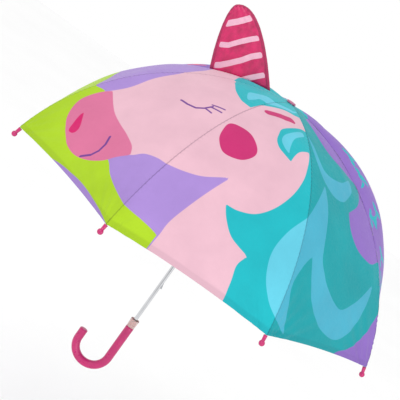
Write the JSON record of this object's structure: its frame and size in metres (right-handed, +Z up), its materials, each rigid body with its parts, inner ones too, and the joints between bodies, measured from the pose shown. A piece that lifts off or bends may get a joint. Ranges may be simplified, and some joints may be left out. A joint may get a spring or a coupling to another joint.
{
  "type": "children's umbrella",
  "caption": "Children's stick umbrella, open: printed dome canopy on hinged ribs with stretchers and a sliding runner, soft horn, J hook handle.",
  "frame": {"origin": "middle of the straight part of the grip, on the shaft's axis", "axes": "+Z up the shaft towards the crown; the hook opens towards -X"},
  "size_m": [0.708, 0.708, 0.6818],
  "materials": {
    "canopy_cloth": "woven polyester, printed",
    "horn_cloth": "satin cloth, bound edge",
    "magenta_plastic": "moulded, glossy",
    "collar_plastic": "moulded, translucent",
    "cap_plastic": "moulded, satin",
    "hub_plastic": "moulded, satin",
    "chromed_steel": "bright chrome",
    "zinc_steel": "zinc plated"
  },
  "bodies": {
    "shaft_and_handle": {"shaft": "chromed_steel", "handle": "magenta_plastic", "handle_collar": "collar_plastic", "crown": "hub_plastic", "crown_wire": "zinc_steel", "top_cap": "cap_plastic"},
    "runner": {"runner": "hub_plastic"},
    "top_catch": {"top_catch": "zinc_steel"},
    "bottom_catch": {"bottom_catch": "zinc_steel"},
    "rib_1_inner": {"rib_1": "zinc_steel", "canopy_inner_1": "canopy_cloth", "horn": "horn_cloth"},
    "rib_1_outer": {"rib_end_1": "zinc_steel", "rib_tip_1": "magenta_plastic", "canopy_outer_1": "canopy_cloth"},
    "strut_1": {"stretcher_1": "zinc_steel"},
    "rib_2_inner": {"rib_2": "zinc_steel", "canopy_inner_2": "canopy_cloth"},
    "rib_2_outer": {"rib_end_2": "zinc_steel", "rib_tip_2": "magenta_plastic", "canopy_outer_2": "canopy_cloth"},
    "strut_2": {"stretcher_2": "zinc_steel"},
    "rib_3_inner": {"rib_3": "zinc_steel", "canopy_inner_3": "canopy_cloth"},
    "rib_3_outer": {"rib_end_3": "zinc_steel", "rib_tip_3": "magenta_plastic", "canopy_outer_3": "canopy_cloth"},
    "strut_3": {"stretcher_3": "zinc_steel"},
    "rib_4_inner": {"rib_4": "zinc_steel", "canopy_inner_4": "canopy_cloth"},
    "rib_4_outer": {"rib_end_4": "zinc_steel", "rib_tip_4": "magenta_plastic", "canopy_outer_4": "canopy_cloth"},
    "strut_4": {"stretcher_4": "zinc_steel"},
    "rib_5_inner": {"rib_5": "zinc_steel", "canopy_inner_5": "canopy_cloth"},
    "rib_5_outer": {"rib_end_5": "zinc_steel", "rib_tip_5": "magenta_plastic", "canopy_outer_5": "canopy_cloth"},
    "strut_5": {"stretcher_5": "zinc_steel"},
    "rib_6_inner": {"rib_6": "zinc_steel", "canopy_inner_6": "canopy_cloth"},
    "rib_6_outer": {"rib_end_6": "zinc_steel", "rib_tip_6": "magenta_plastic", "canopy_outer_6": "canopy_cloth"},
    "strut_6": {"stretcher_6": "zinc_steel"},
    "rib_7_inner": {"rib_7": "zinc_steel", "canopy_inner_7": "canopy_cloth"},
    "rib_7_outer": {"rib_end_7": "zinc_steel", "rib_tip_7": "magenta_plastic", "canopy_outer_7": "canopy_cloth"},
    "strut_7": {"stretcher_7": "zinc_steel"},
    "rib_8_inner": {"rib_8": "zinc_steel", "canopy_inner_8": "canopy_cloth"},
    "rib_8_outer": {"rib_end_8": "zinc_steel", "rib_tip_8": "magenta_plastic", "canopy_outer_8": "canopy_cloth"},
    "strut_8": {"stretcher_8": "zinc_steel"}
  },
  "joints": [
    {"name": "runner_slide", "type": "slide", "parent": "shaft_and_handle", "child": "runner", "axis": [0, 0, 1], "range_m": [-0.2622, 0], "deforming": ["top_catch", "bottom_catch", "canopy_inner_1", "canopy_outer_1", "canopy_inner_2", "canopy_outer_2", "canopy_inner_3", "canopy_outer_3", "canopy_inner_4", "canopy_outer_4", "canopy_inner_5", "canopy_outer_5", "canopy_inner_6", "canopy_outer_6", "canopy_inner_7", "canopy_outer_7", "canopy_inner_8", "canopy_outer_8"]},
    {"name": "top_catch_press", "type": "slide", "parent": "shaft_and_handle", "child": "top_catch", "axis": [-1, 0, 0], "range_m": [0, 0.003], "stiffness_N_per_m": 250},
    {"name": "bottom_catch_press", "type": "slide", "parent": "shaft_and_handle", "child": "bottom_catch", "axis": [-1, 0, 0], "range_m": [0, 0.003], "stiffness_N_per_m": 250},
    {"name": "rib_hinge_1", "type": "hinge", "parent": "shaft_and_handle", "child": "rib_1_inner", "pos_m": [-0.00856, 0.00278, 0.51204], "axis": [-0.309, -0.9511, 0], "range_deg": [0, 63.7]},
    {"name": "rib_flex_1", "type": "hinge", "parent": "rib_1_inner", "child": "rib_1_outer", "pos_m": [-0.22772, 0.07399, 0.42509], "axis": [-0.309, -0.9511, 0], "range_deg": [-31, 0]},
    {"name": "stretcher_rivet_1", "type": "hinge", "parent": "rib_1_inner", "child": "strut_1", "pos_m": [-0.17986, 0.05844, 0.45752], "axis": [-0.309, -0.9511, 0], "range_deg": [-127.4, 0]},
    {"name": "rib_hinge_2", "type": "hinge", "parent": "shaft_and_handle", "child": "rib_2_inner", "pos_m": [-0.00802, -0.00409, 0.51204], "axis": [0.454, -0.891, 0], "range_deg": [0, 63.7]},
    {"name": "rib_flex_2", "type": "hinge", "parent": "rib_2_inner", "child": "rib_2_outer", "pos_m": [-0.21335, -0.1087, 0.42509], "axis": [0.454, -0.891, 0], "range_deg": [-31, 0]},
    {"name": "stretcher_rivet_2", "type": "hinge", "parent": "rib_2_inner", "child": "strut_2", "pos_m": [-0.16851, -0.08586, 0.45752], "axis": [0.454, -0.891, 0], "range_deg": [-127.4, 0]},
    {"name": "rib_hinge_3", "type": "hinge", "parent": "shaft_and_handle", "child": "rib_3_inner", "pos_m": [-0.00278, -0.00856, 0.51204], "axis": [0.9511, -0.309, 0], "range_deg": [0, 63.7]},
    {"name": "rib_flex_3", "type": "hinge", "parent": "rib_3_inner", "child": "rib_3_outer", "pos_m": [-0.07399, -0.22772, 0.42509], "axis": [0.9511, -0.309, 0], "range_deg": [-31, 0]},
    {"name": "stretcher_rivet_3", "type": "hinge", "parent": "rib_3_inner", "child": "strut_3", "pos_m": [-0.05844, -0.17986, 0.45752], "axis": [0.9511, -0.309, 0], "range_deg": [-127.4, 0]},
    {"name": "rib_hinge_4", "type": "hinge", "parent": "shaft_and_handle", "child": "rib_4_inner", "pos_m": [0.00409, -0.00802, 0.51204], "axis": [0.891, 0.454, 0], "range_deg": [0, 63.7]},
    {"name": "rib_flex_4", "type": "hinge", "parent": "rib_4_inner", "child": "rib_4_outer", "pos_m": [0.1087, -0.21335, 0.42509], "axis": [0.891, 0.454, 0], "range_deg": [-31, 0]},
    {"name": "stretcher_rivet_4", "type": "hinge", "parent": "rib_4_inner", "child": "strut_4", "pos_m": [0.08586, -0.16851, 0.45752], "axis": [0.891, 0.454, 0], "range_deg": [-127.4, 0]},
    {"name": "rib_hinge_5", "type": "hinge", "parent": "shaft_and_handle", "child": "rib_5_inner", "pos_m": [0.00856, -0.00278, 0.51204], "axis": [0.309, 0.9511, 0], "range_deg": [0, 63.7]},
    {"name": "rib_flex_5", "type": "hinge", "parent": "rib_5_inner", "child": "rib_5_outer", "pos_m": [0.22772, -0.07399, 0.42509], "axis": [0.309, 0.9511, 0], "range_deg": [-31, 0]},
    {"name": "stretcher_rivet_5", "type": "hinge", "parent": "rib_5_inner", "child": "strut_5", "pos_m": [0.17986, -0.05844, 0.45752], "axis": [0.309, 0.9511, 0], "range_deg": [-127.4, 0]},
    {"name": "rib_hinge_6", "type": "hinge", "parent": "shaft_and_handle", "child": "rib_6_inner", "pos_m": [0.00802, 0.00409, 0.51204], "axis": [-0.454, 0.891, 0], "range_deg": [0, 63.7]},
    {"name": "rib_flex_6", "type": "hinge", "parent": "rib_6_inner", "child": "rib_6_outer", "pos_m": [0.21335, 0.1087, 0.42509], "axis": [-0.454, 0.891, 0], "range_deg": [-31, 0]},
    {"name": "stretcher_rivet_6", "type": "hinge", "parent": "rib_6_inner", "child": "strut_6", "pos_m": [0.16851, 0.08586, 0.45752], "axis": [-0.454, 0.891, 0], "range_deg": [-127.4, 0]},
    {"name": "rib_hinge_7", "type": "hinge", "parent": "shaft_and_handle", "child": "rib_7_inner", "pos_m": [0.00278, 0.00856, 0.51204], "axis": [-0.9511, 0.309, 0], "range_deg": [0, 63.7]},
    {"name": "rib_flex_7", "type": "hinge", "parent": "rib_7_inner", "child": "rib_7_outer", "pos_m": [0.07399, 0.22772, 0.42509], "axis": [-0.9511, 0.309, 0], "range_deg": [-31, 0]},
    {"name": "stretcher_rivet_7", "type": "hinge", "parent": "rib_7_inner", "child": "strut_7", "pos_m": [0.05844, 0.17986, 0.45752], "axis": [-0.9511, 0.309, 0], "range_deg": [-127.4, 0]},
    {"name": "rib_hinge_8", "type": "hinge", "parent": "shaft_and_handle", "child": "rib_8_inner", "pos_m": [-0.00409, 0.00802, 0.51204], "axis": [-0.891, -0.454, 0], "range_deg": [0, 63.7]},
    {"name": "rib_flex_8", "type": "hinge", "parent": "rib_8_inner", "child": "rib_8_outer", "pos_m": [-0.1087, 0.21335, 0.42509], "axis": [-0.891, -0.454, 0], "range_deg": [-31, 0]},
    {"name": "stretcher_rivet_8", "type": "hinge", "parent": "rib_8_inner", "child": "strut_8", "pos_m": [-0.08586, 0.16851, 0.45752], "axis": [-0.891, -0.454, 0], "range_deg": [-127.4, 0]}
  ],
  "couplings": [
    {"joint": "rib_hinge_1", "follows": "runner_slide", "rad_per_m": -4.2387},
    {"joint": "rib_flex_1", "follows": "runner_slide", "rad_per_m": 2.0622},
    {"joint": "stretcher_rivet_1", "follows": "runner_slide", "rad_per_m": 8.4774},
    {"joint": "rib_hinge_2", "follows": "runner_slide", "rad_per_m": -4.2387},
    {"joint": "rib_flex_2", "follows": "runner_slide", "rad_per_m": 2.0622},
    {"joint": "stretcher_rivet_2", "follows": "runner_slide", "rad_per_m": 8.4774},
    {"joint": "rib_hinge_3", "follows": "runner_slide", "rad_per_m": -4.2387},
    {"joint": "rib_flex_3", "follows": "runner_slide", "rad_per_m": 2.0622},
    {"joint": "stretcher_rivet_3", "follows": "runner_slide", "rad_per_m": 8.4774},
    {"joint": "rib_hinge_4", "follows": "runner_slide", "rad_per_m": -4.2387},
    {"joint": "rib_flex_4", "follows": "runner_slide", "rad_per_m": 2.0622},
    {"joint": "stretcher_rivet_4", "follows": "runner_slide", "rad_per_m": 8.4774},
    {"joint": "rib_hinge_5", "follows": "runner_slide", "rad_per_m": -4.2387},
    {"joint": "rib_flex_5", "follows": "runner_slide", "rad_per_m": 2.0622},
    {"joint": "stretcher_rivet_5", "follows": "runner_slide", "rad_per_m": 8.4774},
    {"joint": "rib_hinge_6", "follows": "runner_slide", "rad_per_m": -4.2387},
    {"joint": "rib_flex_6", "follows": "runner_slide", "rad_per_m": 2.0622},
    {"joint": "stretcher_rivet_6", "follows": "runner_slide", "rad_per_m": 8.4774},
    {"joint": "rib_hinge_7", "follows": "runner_slide", "rad_per_m": -4.2387},
    {"joint": "rib_flex_7", "follows": "runner_slide", "rad_per_m": 2.0622},
    {"joint": "stretcher_rivet_7", "follows": "runner_slide", "rad_per_m": 8.4774},
    {"joint": "rib_hinge_8", "follows": "runner_slide", "rad_per_m": -4.2387},
    {"joint": "rib_flex_8", "follows": "runner_slide", "rad_per_m": 2.0622},
    {"joint": "stretcher_rivet_8", "follows": "runner_slide", "rad_per_m": 8.4774}
  ]
}
